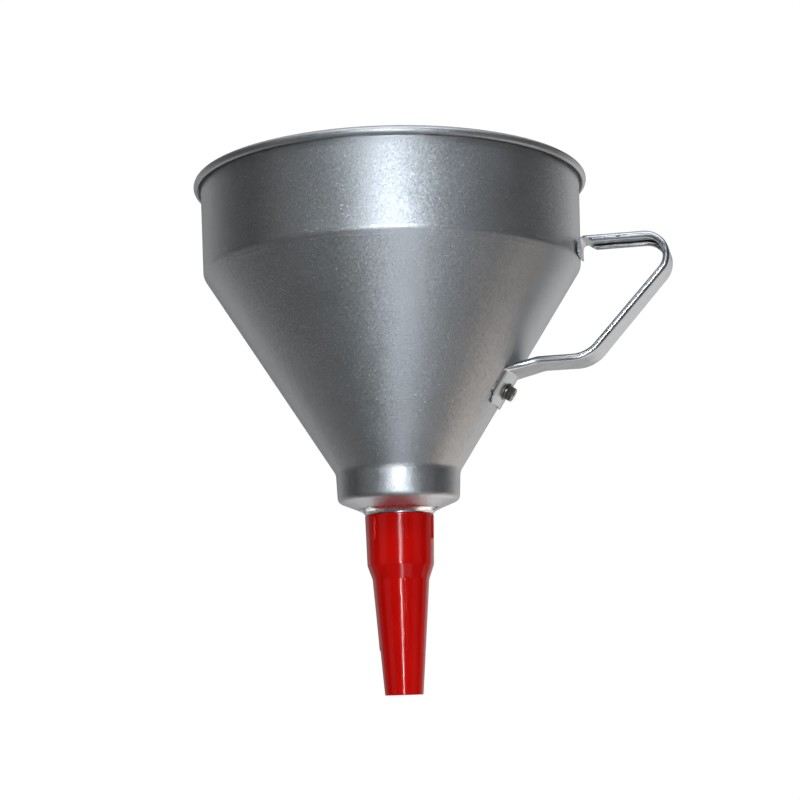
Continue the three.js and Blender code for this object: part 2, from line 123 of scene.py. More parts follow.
def supported(line, closed=True, near=0.35, apart=6.0):
    """The line with points added near the ends of its long straights and along them, for even shading."""
    out = []
    count = len(line) if closed else len(line) - 1
    for i in range(count):
        a, b = Vector(line[i]), Vector(line[(i + 1) % len(line)])
        out.append(line[i])
        length = (b - a).length
        if length < 4 * near:
            continue
        inner = [near, length - near]
        pieces = max(1, round((length - 2 * near) / apart))
        inner[1:1] = [near + (length - 2 * near) * k / pieces for k in range(1, pieces)]
        out += [tuple(a.lerp(b, d / length)) for d in inner]
    if not closed:
        out.append(line[-1])
    return out


def directions(line):
    last = len(line) - 1
    return [
        (Vector(line[min(i + 1, last)]) - Vector(line[max(i - 1, 0)])).normalized()
        for i in range(len(line))
    ]


def sheet(line, thickness):
    """The closed outline, with round ends, of a sheet whose middle follows line. It runs anticlockwise."""
    along = directions(line)
    half = thickness / 2
    left = [(x - t.y * half, z + t.x * half) for (x, z), t in zip(line, along)]
    right = [(x + t.y * half, z - t.x * half) for (x, z), t in zip(line, along)]

    def cap(centre, t, sign):
        reach = half * sign
        points = []
        for a in (-60, -30, 0, 30, 60):
            c, s = math.cos(math.radians(a)), math.sin(math.radians(a))
            x = centre[0] + reach * (c * t.x) - reach * (s * t.y)
            z = centre[1] + reach * (c * t.y) + reach * (s * t.x)
            points.append((x, z))
        return points

    return right + cap(line[-1], along[-1], 1) + left[::-1] + cap(line[0], along[0], -1)


# ---- meshes --------------------------------------------------------------------------------------


def piece(name, verts, faces, sharp=38.0):
    """An object in the row frame. Shared points are merged, and edges over `sharp` degrees stay hard."""
    mesh = bpy.data.meshes.new(name)
    mesh.from_pydata([Vector(v) * MM for v in verts], [], faces)
    work = bmesh.new()
    work.from_mesh(mesh)
    bmesh.ops.remove_doubles(work, verts=work.verts, dist=1e-7)
    bmesh.ops.recalc_face_normals(work, faces=work.faces)
    work.to_mesh(mesh)
    work.free()
    mesh.polygons.foreach_set("use_smooth", [True] * len(mesh.polygons))
    mesh.set_sharp_from_angle(angle=math.radians(sharp))
    made = bpy.data.objects.new(name, mesh)
    bpy.context.scene.collection.objects.link(made)
    return made


def around(count):
    return [360.0 * i / count for i in range(count)]


def turned(name, outline, azimuths, move=None, sharp=38.0):
    """A closed outline of (radius, height) turned about Z. move(r, z, azimuth) shifts a point."""
    verts, faces = [], []
    n, m = len(outline), len(azimuths)
    for a in azimuths:
        c, s = math.cos(math.radians(a)), math.sin(math.radians(a))
        for r, z in outline:
            if move:
                r, z = move(r, z, a)
            verts.append((r * c, r * s, z))
    for j in range(m):
        k = (j + 1) % m
        for i in range(n):
            o = (i + 1) % n
            if outline[i][0] == 0 and outline[o][0] == 0:
                continue
            faces.append((j * n + i, k * n + i, k * n + o, j * n + o))
    return piece(name, verts, faces, sharp)


def tube(points, side, radius, sides):
    """Verts and faces of a wire along points in a plane whose normal is side, with slightly round ends."""
    points = [Vector(p) for p in points]
    last = len(points) - 1
    rings, verts, faces = [], [], []
    for i, p in enumerate(points):
        t = (points[min(i + 1, last)] - points[max(i - 1, 0)]).normalized()
        up = side.cross(t)
        steps = [(0, 1)]
        if i == 0:
            steps = [(-0.3, 0.55), (-0.12, 0.9), (0, 1)]
        if i == last:
            steps = [(0, 1), (0.12, 0.9), (0.3, 0.55)]
        for shift, scale in steps:
            rings.append((p + t * (shift * radius), up, scale * radius))
    for centre, up, r in rings:
        for k in range(sides):
            a = 2 * math.pi * k / sides
            verts.append(centre + side * (r * math.cos(a)) + up * (r * math.sin(a)))
    for i in range(len(rings) - 1):
        for k in range(sides):
            o = (k + 1) % sides
            faces.append((i * sides + k, i * sides + o, (i + 1) * sides + o, (i + 1) * sides + k))
    faces.append(tuple(range(sides))[::-1])
    faces.append(tuple((len(rings) - 1) * sides + k for k in range(sides)))
    return verts, faces


def merged(parts):
    verts, faces = [], []
    for v, f in parts:
        base = len(verts)
        verts += v
        faces += [tuple(base + i for i in face) for face in f]
    return verts, faces


def wave(x, y, z, scale):
    """Smooth noise from -1 to 1 with features about `scale` millimetres long."""
    return noise.noise(Vector((x, y, z)) / scale)


def smooth(x):
    x = min(1.0, max(0.0, x))
    return x * x * (3 - 2 * x)


# ---- bowl and neck -------------------------------------------------------------------------------


def shoulder_z(r):
    return COLLAR_FOOT[1] - (COLLAR_FOOT[0] - r) * SHOULDER_RISE


def cone_outer_r(z):
    return COLLAR_TOP[0] + (z - COLLAR_TOP[1]) * CONE_RISE + SHEET / 2 / math.cos(CONE_ANGLE)


WELDS = [(-5.2, 216.0), (5.2, 216.0)]  # y and z of the two spot welds that hold the handle's upper foot
WELD_R, WELD_DEPTH, WELD_RING = 2.0, 0.16, 0.04
WELD_FROM_Z, WELD_TO_Z = 213.6, 218.6


def weld_dimple(y, z):
    """Depth of the electrode's print, with a slight raised ring round it."""
    depth = 0.0
    for wy, wz in WELDS:
        d = math.hypot(y - wy, z - wz) / WELD_R
        if d < 1.6:
            ring = WELD_RING * math.exp(-(((d - 1.15) / 0.18) ** 2))
            depth += WELD_DEPTH * (1 - smooth((d - 0.45) / 0.5)) - ring
    return depth


FORMING_Z, FORMING_HEIGHT, FORMING_WIDTH = 208.9, 0.035, 0.4  # faint line left under the crease


def bowl_line():
    """The middle of the sheet, from the outlet hole to the curl's lip, closely stepped at details."""
    hole_r = NECK_R + GAP
    line = rounded(
        [
            (hole_r, shoulder_z(hole_r), 0),
            (*COLLAR_FOOT, COLLAR_FOOT_CORNER),
            (*COLLAR_TOP, COLLAR_TOP_CORNER),
            (*BAND_FOOT, BAND_CORNER),
            (BAND_TOP_R, RIM_Z, 0),
        ],
        closed=False,
        step=4.0,
    )
    cone = max(range(len(line) - 2), key=lambda k: line[k + 1][1] - line[k][1])
    a, b = Vector(line[cone]), Vector(line[cone + 1])
    rows = [FORMING_Z + 0.25 * k for k in range(-5, 6)]
    line[cone + 1 : cone + 1] = [tuple(a.lerp(b, (z - a.y) / (b.y - a.y))) for z in rows]
    foot, top = line[-2], line[-1]
    weld_rows = [WELD_FROM_Z + 0.5 * k for k in range(round((WELD_TO_Z - WELD_FROM_Z) / 0.5) + 1)]
    rise = (top[0] - foot[0]) / (top[1] - foot[1])
    band = [(foot[0] + (z - foot[1]) * rise, z) for z in weld_rows]
    head = supported(line[:-1], closed=False)
    tail = supported([band[-1], top], closed=False)
    curl = []
    steps = 24
    for k in range(1, steps + 1):
        a = math.radians(180 + (CURL_END - 180) * k / steps)
        curl.append((BAND_TOP_R + CURL_R + CURL_R * math.cos(a), RIM_Z + CURL_R * math.sin(a)))
    return head + band + tail[1:] + curl


def bowl():
    def move(r, z, azimuth):
        """The sheet is a little uneven, and the welds print its inner face. Rim and collar stay true."""
        a = math.radians(azimuth)
        x, y = r * math.cos(a), r * math.sin(a)
        shift = 0.07 * wave(x, y, z, 34.0) + 0.03 * wave(x, y, z + 90, 11.0)
        fade = smooth((r - 34) / 12) * (1 - smooth((z - 252) / 4))
        r += shift * fade + FORMING_HEIGHT * math.exp(-(((z - FORMING_Z) / FORMING_WIDTH) ** 2))
        inner = r < BAND_FOOT[0] + (z - BAND_FOOT[1]) * 0.02
        if inner and 213 < z < 219 and x > 0 and abs(y) < 10:
            r += weld_dimple(y, z)
        return r, z

    near = [0.36 * k for k in range(-25, 26)]  # close together behind the handle's foot
    rest = [10.5 + (360 - 21.0) * k / 172 for k in range(173)]
    azimuths = sorted(a % 360 for a in near + rest)
    made = turned("bowl_shell", sheet(bowl_line(), SHEET), azimuths, move)
    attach(made, "funnel")
    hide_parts("funnel_bowl")
    return made


def neck():
    inner = NECK_R - NECK_WALL
    flare_z = shoulder_z(NECK_R) + SHEET + GAP
    flare_top = flare_z + (NECK_FLARE_R - NECK_R) * SHOULDER_RISE
    outline = rounded(
        [
            (inner, NECK_FOOT_Z, 0.3),
            (NECK_R, NECK_FOOT_Z, 0.3),
            (NECK_R, flare_z, 0.5),
            (NECK_FLARE_R, flare_top, 0.25),
            (NECK_FLARE_R, flare_top + NECK_WALL, 0.25),
            (inner, flare_z + NECK_WALL, 1.0),
        ],
    )
    made = turned("neck_pipe", supported(outline), around(96))
    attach(made, "funnel")
    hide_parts("neck_tube")
    return made


def solder():
    """The fillet of solder under the shoulder: it wets unevenly, so its foot and its face wander."""

    def top(r):
        return shoulder_z(r) - SHEET / 2 * math.hypot(1, SHOULDER_RISE) - 0.05

    foot = SLEEVE_TOP[1] + 0.25
    inner = NECK_R + 0.05
    start, bend = Vector((17.0, foot)), Vector((17.6, top(18.0) - 0.25))
    end = Vector((SOLDER_R, top(SOLDER_R)))
    face = []
    steps = 14
    for k in range(steps + 1):
        t = k / steps
        p = start * (1 - t) ** 2 + bend * (2 * t * (1 - t)) + end * t * t
        face.append((p.x, p.y))
    outline = [(inner, foot), (16.2, foot), *face, (18.0, top(18.0)), (inner, top(inner))]

    def move(r, z, azimuth):
        a = math.radians(azimuth)
        x, y = math.cos(a), math.sin(a)
        if r < 16.5:
            return r, z
        lump = wave(18 * x, 18 * y, z, 3.2) + 0.5 * wave(18 * x, 18 * y, z + 40, 1.2)
        reach = smooth((r - 16.5) / 1.5)
        edge = smooth((r - 19.0) / 1.4)
        r += 0.26 * lump * reach + edge * 0.9 * wave(20 * x, 20 * y, 7, 9.0)
        z = min(z + 0.12 * lump * reach, top(r))
        return r, z

    made = turned("solder_fillet", outline, around(288), move, sharp=60)
    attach(made, "funnel")
    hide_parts("neck_solder")
    return made


# ---- spout ---------------------------------------------------------------------------------------


def rib_height(r, z, azimuth, count, span, height):
    """How far a rib lifts the spout's face at a point: a bar with round ends and sloped flanks."""
    pitch = 360.0 / count
    off = (azimuth - RIB_AZIMUTH + pitch / 2) % pitch - pitch / 2
    across = math.radians(off) * r
    half = RIB_WIDTH / 2
    past = max(0.0, span[0] + half - z, z - (span[1] - half))
    inside = half - math.hypot(across, past)
    return height * smooth(inside / RIB_FLANK) * (1 - 0.05 * (across / half) ** 2 if inside > 0 else 1)


def spout():
    tip_seam, top_seam = (TIP_R - 0.6, 0, 0), (SLEEVE_TOP[0] - 1.0, SLEEVE_TOP[1], 0)
    outer = rounded(
        [
            tip_seam,
            (TIP_R, 0, 0.4),
            (*TAPER_TOP, TAPER_TOP_CORNER),
            (*SLEEVE_FOOT, SLEEVE_FOOT_CORNER),
            (*SLEEVE_TOP, SLEEVE_TOP_CORNER),
            top_seam,
        ],
        closed=False,
    )
    steps = (-0.1, 0.05, 0.15, 0.25, 0.35, 0.45, 0.55, 0.7, 0.9, 1.15, 1.4)  # over a rib's round end
    rows = []
    for low, high in (SHORT_RIB_Z, LONG_RIB_Z):
        rows += [low + d for d in steps] + [high - d for d in steps]
    face = []
    for a, b in zip(outer, outer[1:]):
        face.append(a)
        if b[1] - a[1] > 3:
            extra = [z for z in rows if a[1] + 0.1 < z < b[1] - 0.1]
            extra += [a[1] + 0.35, b[1] - 0.35]
            extra += [a[1] + (b[1] - a[1]) * k / 14 for k in range(1, 14)]
            for z in sorted(set(round(z, 3) for z in extra)):
                face.append((a[0] + (b[0] - a[0]) * (z - a[1]) / (b[1] - a[1]), z))
    face.append(outer[-1])
    bore = rounded(
        [
            top_seam,
            (SOCKET_R + SOCKET_LEAD_IN, SLEEVE_TOP[1], 0.15),
            (SOCKET_R, SLEEVE_TOP[1] - SOCKET_LEAD_IN, 0.4),
            (SOCKET_R, SOCKET_FLOOR_Z, 0.2),
            (NECK_R - NECK_WALL - GAP, SOCKET_FLOOR_Z, 0.3),
            (TAPER_TOP[0] - TIP_WALL, TAPER_TOP[1], TAPER_TOP_CORNER),
            (TIP_R - TIP_WALL, 0, 0.3),
            tip_seam,
        ],
        closed=False,
    )
    outline = face + supported(bore, closed=False)[1:-1]

    def move(r, z, azimuth):
        is_face = r > 9.2 + z * (TAPER_TOP[0] - TIP_R) / TAPER_TOP[1] if z < 57 else r > 16.3
        if not is_face:
            return r, z
        lift = rib_height(r, z, azimuth, SHORT_RIBS, SHORT_RIB_Z, SHORT_RIB_HEIGHT)
        lift += rib_height(r, z, azimuth, LONG_RIBS, LONG_RIB_Z, LONG_RIB_HEIGHT)
        a = math.radians(azimuth)
        sink = 0.035 * wave(r * math.cos(a), r * math.sin(a), z, 9.0)
        return r + lift + sink * smooth((z - 1) / 4) * smooth((88 - z) / 4), z

    azimuths = []
    pitch, fine, each_side = 360 // SHORT_RIBS, 0.55, 16  # close together over a rib
    for k in range(SHORT_RIBS):
        centre = RIB_AZIMUTH + pitch * k
        azimuths += [centre + fine * i for i in range(-each_side, each_side + 1)]
        azimuths += [centre + 8.8 + (pitch - 17.6) * i / 14 for i in range(1, 14)]
    azimuths = sorted(a % 360 for a in azimuths)
    made = turned("spout_moulding", outline, azimuths, move, sharp=50)
    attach(made, "spout")
    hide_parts("spout")
    return made


# ---- handle --------------------------------------------------------------------------------------


class Route:
    """A line in the XZ plane that can be read at any distance along it."""

    def __init__(self, corners):
        self.points = [Vector(p) for p in rounded(corners, closed=False, step=4.0)]
        self.along = directions(self.points)
        self.at = [0.0]
        for a, b in zip(self.points, self.points[1:]):
            self.at.append(self.at[-1] + (b - a).length)
        self.length = self.at[-1]

    def place(self, s):
        """The point and the direction at distance s."""
        s = min(max(s, 0.0), self.length)
        i = next(k for k in range(len(self.at) - 1) if s <= self.at[k + 1])
        t = (s - self.at[i]) / (self.at[i + 1] - self.at[i])
        heading = self.along[i].lerp(self.along[i + 1], t).normalized()
        return self.points[i].lerp(self.points[i + 1], t), heading

    def distance_to(self, x=None, z=None, from_end=False):
        """The distance along at which the line first comes to this x or z, or last if from_end."""
        order = range(len(self.points) - 1)
        for i in reversed(order) if from_end else order:
            a, b = self.points[i], self.points[i + 1]
            low, high, value = (a.x, b.x, x) if x is not None else (a.y, b.y, z)
            if min(low, high) <= value <= max(low, high) and low != high:
                return self.at[i] + (value - low) / (high - low) * (self.at[i + 1] - self.at[i])
        raise ValueError("the route never comes there")


CUT_SLOPE = 1.5  # how far a roll's cut end slants along the strap, for its depth
CUT_FADE = 9.0  # the slant dies out over this length of strap
RING_STEP = 4.0  # along the strap's straights
ROLL_STEPS, ROLL_END = 20, -184.0  # sides of a roll, and where its lip ends in degrees
COLUMNS = 30  # across the strap between the rolls


def handle():
    """A strap with both edges rolled into tubes, which are pressed flat near the tab.

    Its ends are plain sheet: the rolls are cut away there on a slant.
    """
    tab_end_x = TAB_TOP[0] - (TAB_TOP[1] - TAB_END_Z) * CONE_RISE
    route = Route(
        [
            (*FOOT, 0),
            (FOOT[0], UPPER_ARM_Z, FOOT_CORNER),
            (*GRIP_TOP, GRIP_TOP_CORNER),
            (*GRIP_FOOT, GRIP_FOOT_CORNER),
            (*ARM_BREAK, ARM_BREAK_CORNER),
            (*TAB_TOP, TAB_CORNER),
            (tab_end_x, TAB_END_Z, 0),
        ]
    )
    start = route.distance_to(x=BEAD_START_X)
    end = route.distance_to(z=HEM_END_Z, from_end=True)
    half = STRAP_WIDTH / 2
    inner = BEAD_R - WEB
    across = [half - STRAP_WIDTH * k / COLUMNS for k in range(COLUMNS + 1)]

    def roll(sign):
        """The roll's outer and inner face from the web round to its lip."""
        outside, inside = [], []
        for k in range(1, ROLL_STEPS + 1):
            a = math.radians(90 + (ROLL_END - 90) * k / ROLL_STEPS)
            wall = WEB + (CURL_WALL - WEB) * smooth(k / 6)
            outside.append((sign * (half + BEAD_R * math.cos(a)), BEAD_R * math.sin(a)))
            inside.append((sign * (half + (BEAD_R - wall) * math.cos(a)), (BEAD_R - wall) * math.sin(a)))
        return outside, inside

    out_r, in_r = roll(1)
    out_l, in_l = roll(-1)
    top = [(y, BEAD_R) for y in across]
    bottom = [(y, inner) for y in reversed(across)]
    section = top + out_l + in_l[::-1] + bottom + in_r + out_r[::-1]
    i_top = list(range(len(top)))
    base = len(top)
    i_out_l = [base + k for k in range(ROLL_STEPS)]
    i_in_l = [base + 2 * ROLL_STEPS - 1 - k for k in range(ROLL_STEPS)]
    base += 2 * ROLL_STEPS
    i_bottom = [base + k for k in range(len(bottom))]
    base += len(bottom)
    i_in_r = [base + k for k in range(ROLL_STEPS)]
    i_out_r = [base + 2 * ROLL_STEPS - 1 - k for k in range(ROLL_STEPS)]
    n = len(section)

    def width_at(z):
        """The strap's width, which narrows towards the upper arm."""
        share = (max(z, LOWER_ARM_Z) - LOWER_ARM_Z) / (UPPER_ARM_Z - LOWER_ARM_Z)
        return STRAP_WIDTH + (STRAP_WIDTH_TOP - STRAP_WIDTH) * share

    def point(s, y, out, squeeze=1.0):
        """The row-frame point at distance s, across the strap and outwards from the beads' centre."""
        p, t = route.place(s)
        width = width_at(p.y)
        flat = 1 - smooth((p.x - TAB_TOP[0]) / (HEM_FROM_X - TAB_TOP[0]))
        beyond = max(abs(y) - half, 0.0) * (1 + HEM_SPREAD * flat)
        y = math.copysign(min(abs(y) / half, 1.0) * width / 2 + beyond, y) * squeeze
        if out < inner:
            out = inner - (inner - out) * (1 - (1 - HEM) * flat)
        x, z = p.x - t.y * out, p.y + t.x * out
        share = 1 - smooth((x - TAB_TOP[0]) / (TAB_ROUND_FROM_X - TAB_TOP[0]))
        y *= 1 + TAB_FLARE * share
        x -= share * (x - math.sqrt(x * x - y * y))
        if s < start and out < 1.0:
            x -= weld_dimple(y, z) * smooth((FOOT[0] + 0.4 - x) / 0.5)
        swell = 0.05 * wave(x, y, z, 16.0)
        return (x - t.y * swell, y, z + t.x * swell) if start < s < end else (x, y, z)

    def slanted(s, out):
        """Distance moved so that the rolls' end faces slant."""
        lag = (BEAD_R - out) * CUT_SLOPE
        s += lag * max(0.0, 1 - (s - start) / CUT_FADE)
        s -= lag * max(0.0, 1 - (end - s) / CUT_FADE)
        return s

    stops = sorted({start, end, *[s for s in route.at if start < s < end]})
    rings = [stops[0]]
    for a, b in zip(stops, stops[1:]):
        pieces = max(1, math.ceil((b - a) / RING_STEP))
        straight = b - a > 3
        if straight:
            rings.append(a + 0.4)
        rings += [a + (b - a) * k / pieces for k in range(1, pieces)]
        if straight:
            rings.append(b - 0.4)
        rings.append(b)

    verts, faces = [], []
    for s in rings:
        verts += [point(slanted(s, out), y, out) for y, out in section]
    for i in range(len(rings) - 1):
        for j in range(n):
            k = (j + 1) % n
            faces.append((i * n + j, i * n + k, (i + 1) * n + k, (i + 1) * n + j))

    def cap(first):
        """Closes both rolls' cut ends, between their outer and inner face."""
        left = [i_top[-1], *i_out_l], [i_bottom[0], *i_in_l]
        right = [i_top[0], *i_out_r], [i_bottom[-1], *i_in_r]
        for outs, ins in (left, right):
            for corners in zip(outs, outs[1:], ins[1:], ins):
                faces.append(tuple(first + corner for corner in corners))

    def flat_end(first, from_s, to_s, corner):
        """Continues the web alone from the ring at `first` to the strap's end, which has round corners."""
        m = COLUMNS + 1
        upper = [first + k for k in i_top]
        lower = [first + k for k in i_bottom[::-1]]
        sign = 1 if to_s > from_s else -1
        reach = abs(to_s - from_s)
        offsets = [0.6 * k for k in range(1, int((reach - corner) / 0.6) + 1)]
        offsets += [reach - corner * (1 - math.sin(math.radians(a))) for a in range(0, 91, 10)]
        offsets = sorted(set(round(d, 4) for d in offsets if d > 0.3))
        for d in offsets:
            left = reach - d
            inset = corner - math.sqrt(max(corner**2 - (corner - left) ** 2, 0)) if left < corner else 0
            s = from_s + sign * d
            lag = (BEAD_R - inner) * CUT_SLOPE * max(0.0, 1 - d / 3.0)
            w = width_at(route.place(s)[0].y) / 2
            squeeze = (w - inset) / w
            row = len(verts)
            verts.extend(point(s, y, BEAD_R, squeeze) for y in across)
            verts.extend(point(s - sign * lag, y, inner, squeeze) for y in across)
            new_upper = [row + k for k in range(m)]
            new_lower = [row + m + k for k in range(m)]
            for k in range(m - 1):
                faces.append((upper[k], upper[k + 1], new_upper[k + 1], new_upper[k]))
                faces.append((lower[k], lower[k + 1], new_lower[k + 1], new_lower[k]))
            for k in (0, m - 1):
                faces.append((upper[k], lower[k], new_lower[k], new_upper[k]))
            upper, lower = new_upper, new_lower
        for k in range(m - 1):
            faces.append((upper[k], upper[k + 1], lower[k + 1], lower[k]))

    cap(0)
    cap((len(rings) - 1) * n)
    flat_end(0, start, 0.0, 1.5)
    flat_end((len(rings) - 1) * n, end, route.length, 3.0)
    made = piece("handle_strap", verts, faces, sharp=40)
    edge = made.modifiers.new("edges", "BEVEL")
    edge.width = 0.1 * MM
    edge.segments = 2
    edge.limit_method = "ANGLE"
    edge.angle_limit = math.radians(50)
    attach(made, "funnel")
    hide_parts("handle")
    return made


# ---- fastener ------------------------------------------------------------------------------------

AT_SCREW = Matrix.Translation(Vector((cone_outer_r(SCREW_Z), 0, SCREW_Z)) * MM) @ Matrix.Rotation(
    math.pi / 2 + CONE_ANGLE, 4, "Y"
)
WEB_OUTER_H = (TAB_TOP[0] - cone_outer_r(TAB_TOP[1])) * math.cos(CONE_ANGLE) + BEAD_R
WASHER_H = WEB_OUTER_H + 0.04
NUT_H = WASHER_H + WASHER_THICK + 0.04
SCREW_TOP_H = NUT_H + NUT_HEIGHT + SCREW_END
SEAL_H = -SHEET - 0.05 - SEAL_THICK
HEAD_H = SEAL_H - 0.03


def at_screw(made, node):
    made.data.transform(AT_SCREW)
    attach(made, "funnel")
    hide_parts(node)
    return made


def screw():
    """A pan-head screw whose thread shows past the nut. The sides of its slot slope."""
    dome = []
    for degrees in range(0, 91, 6):
        a = math.radians(degrees)
        height = HEAD_H - HEAD_EDGE - (HEAD_HEIGHT - HEAD_EDGE) * math.cos(a)
        dome.append((HEAD_R * math.sin(a), height))
    rows = [HEAD_H + (SCREW_TOP_H - 0.5 - HEAD_H) * k / 100 for k in range(101)]
    outline = [(0.0, dome[0][1]), *dome[1:], (HEAD_R, HEAD_H - 0.25), (HEAD_R - 0.2, HEAD_H)]
    outline += [(SCREW_R, z) for z in rows]
    outline += [(SCREW_R - 0.15, SCREW_TOP_H - 0.32), (SCREW_R - 0.5, SCREW_TOP_H), (0.0, SCREW_TOP_H)]

    def move(r, z, azimuth):
        if r < SCREW_R - 0.2 or r > SCREW_R + 0.01 or z < HEAD_H:
            return r, z
        turn = (z / THREAD_PITCH - azimuth / 360.0) % 1.0
        groove = smooth(1 - abs(turn - 0.5) / 0.38)
        return r - THREAD_DEPTH * groove * smooth((z - HEAD_H) / 1.0), z

    made = turned("screw", outline, around(64), move, sharp=50)
    work = bmesh.new()
    work.from_mesh(made.data)
    half_slot = SLOT_WIDTH / 2 * MM
    for sign in (-1, 1):
        bmesh.ops.bisect_plane(
            work,
            geom=work.verts[:] + work.edges[:] + work.faces[:],
            plane_co=(0, sign * half_slot, 0),
            plane_no=(0, 1, 0),
        )
    slot_floor = (HEAD_H - HEAD_HEIGHT + SLOT_DEPTH) * MM
    for v in work.verts:
        if abs(v.co.y) < half_slot * 0.999 and v.co.z < slot_floor:
            v.co.z = slot_floor
    work.to_mesh(made.data)
    work.free()
    return at_screw(made, "handle_screw")


def hex_nut():
    """Chamfered both sides, with a countersunk bore. A corner points along Y."""
    reach = NUT_FLATS / 2
    flat_r = reach * 0.96  # of the flat face inside the chamfer
    slope = math.tan(math.radians(NUT_CHAMFER))
    bore = SCREW_R - 0.02
    count = 120
    turns = [2 * math.pi * k / count for k in range(count)]

    def side_r(a):
        """The hexagon's radius at a turn, with its corners just broken."""
        return min(reach / math.cos(a % (math.pi / 3) - math.pi / 6), reach * 1.145)

    def half(height, sign):
        """Loops from inside the bore over the face at this height to the hexagon's sides."""
        loops = []
        for r, z in ((bore, height - sign * 0.45), (bore + 0.35, height), (flat_r, height)):
            loops.append([(r * math.cos(a), r * math.sin(a), z) for a in turns])
        for share in (0.2, 0.4, 0.6, 0.8, 1.0):
            radii = [flat_r + (side_r(a) - flat_r) * share for a in turns]
            drops = [sign * max(0.0, r - flat_r) * slope for r in radii]
            row = zip(radii, drops, turns)
            loops.append([(r * math.cos(a), r * math.sin(a), height - drop) for r, drop, a in row])
        return loops

    ordered = half(NUT_H, -1) + half(NUT_H + NUT_HEIGHT, 1)[::-1]
    verts = [v for loop in ordered for v in loop]
    faces = []
    for i in range(len(ordered)):
        o = (i + 1) % len(ordered)
        for k in range(count):
            m = (k + 1) % count
            faces.append((i * count + k, i * count + m, o * count + m, o * count + k))
    made = piece("lock_nut", verts, faces, sharp=24)
    made.data.transform(Matrix.Rotation(math.radians(30), 4, "Z"))
    return at_screw(made, "hex_nut")


def washer(name, node, inner, outer, foot, thickness, edge):
    outline = rounded(
        [
            (inner, foot, edge),
            (outer, foot, edge),
            (outer, foot + thickness, edge),
            (inner, foot + thickness, edge),
        ],
        step=22,
    )
    return at_screw(turned(name, outline, around(72)), node)


# ---- strainer ------------------------------------------------------------------------------------


def sheet_ring(name, corners):
    """A ring turned from its section's corners (radius, height, rounding)."""
    return turned(name, supported(rounded(corners, step=15)), around(128))


def strainer():
    inner = STRAINER_R - RING_WALL
    ring = sheet_ring(
        "strainer_cup",
        [
            (LEDGE_R, STRAINER_Z, 0.3),
            (STRAINER_R, STRAINER_Z, 1.0),
            (STRAINER_R, STRAINER_Z + RING_HEIGHT, 0.35),
            (inner, STRAINER_Z + RING_HEIGHT, 0.35),
            (inner, STRAINER_Z + RING_WALL, 0.3),
            (LEDGE_R, STRAINER_Z + RING_WALL, 0.3),
        ],
    )
    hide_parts("strainer_ring")
    clamp_r = inner - 0.1
    clamp = sheet_ring(
        "clamp_band",
        [
            (clamp_r - RING_WALL, CLAMP_Z, 0.2),
            (clamp_r, CLAMP_Z, 0.2),
            (clamp_r, CLAMP_Z + CLAMP_HEIGHT, 0.3),
            (clamp_r - RING_WALL, CLAMP_Z + CLAMP_HEIGHT, 0.3),
        ],
    )
    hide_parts("strainer_clamp_ring")
    gauze = woven_gauze(inner - 0.2)
    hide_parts("strainer_gauze")
    brackets = [
        bracket(1, "bracket_left", "bail_bracket_left"),
        bracket(-1, "bracket_right", "bail_bracket_right"),
    ]
    for made in (ring, clamp, gauze, *brackets):
        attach(made, "strainer")
    return ring, clamp, gauze, brackets


def woven_gauze(radius, pitch=1.2, wire=0.15):
    """Plain weave: each wire goes over and under the ones it crosses."""
    parts = []
    count = int(radius / pitch)
    for turned_over in (False, True):
        for i in range(-count, count + 1):
            off = i * pitch
            reach = math.sqrt(max(radius**2 - off**2, 0))
            if reach < 3:
                continue
            steps = int(reach / (pitch / 2))
            path = []
            for k in range(-steps, steps + 1):
                along = k * pitch / 2
                phase = math.cos(math.pi * along / pitch) * (-1 if (i % 2) else 1)
                height = GAUZE_Z + wire * 1.02 * phase * (-1 if turned_over else 1)
                path.append((off, along, height) if turned_over else (along, off, height))
            side = Vector((1, 0, 0)) if turned_over else Vector((0, 1, 0))
            parts.append(tube(path, side, wire, sides=6))
    verts, faces = merged(parts)
    return piece("woven_gauze", verts, faces, sharp=80)


def bracket(side, name, node):
    """A small upright ear with a round top and a hole for the bail, its edges broken."""
    half = BRACKET_WIDTH / 2
    foot, edge = CLAMP_Z + 0.1, 0.12
    steps = 24
    hole_r = WIRE_R + 0.1
    loops = []
    for depth, shrink in ((0, edge), (edge, 0), (BRACKET_THICK - edge, 0), (BRACKET_THICK, edge)):
        outer, hole = [], []
        for k in range(2 * steps):
            a = math.radians(180.0 * k / steps - 90)
            c, s = math.cos(a), math.sin(a)
            if s >= 0:
                outer.append(((half - shrink) * c, PIVOT_Z + (half - shrink) * s))
            else:
                t = min((half - shrink) / max(abs(c), 1e-6), (PIVOT_Z - foot - shrink) / max(abs(s), 1e-6))
                outer.append((t * c, PIVOT_Z + t * s))
            hole.append(((hole_r + shrink) * c, PIVOT_Z + (hole_r + shrink) * s))
        loops.append((depth, outer, hole))
    verts, faces = [], []
    m = 2 * steps
    for depth, outer, hole in loops:
        y = side * (BRACKET_Y + depth)
        verts += [(x, y, z) for x, z in outer] + [(x, y, z) for x, z in hole]
    for level in range(3):
        a, b = level * 2 * m, (level + 1) * 2 * m
        for k in range(m):
            o = (k + 1) % m
            faces.append((a + k, a + o, b + o, b + k))
            faces.append((a + m + k, a + m + o, b + m + o, b + m + k))
    for level in (0, 3):
        a = level * 2 * m
        for k in range(m):
            o = (k + 1) % m
            faces.append((a + k, a + o, a + m + o, a + m + k))
    made = piece(name, verts, faces, sharp=32)
    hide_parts(node)
    return made


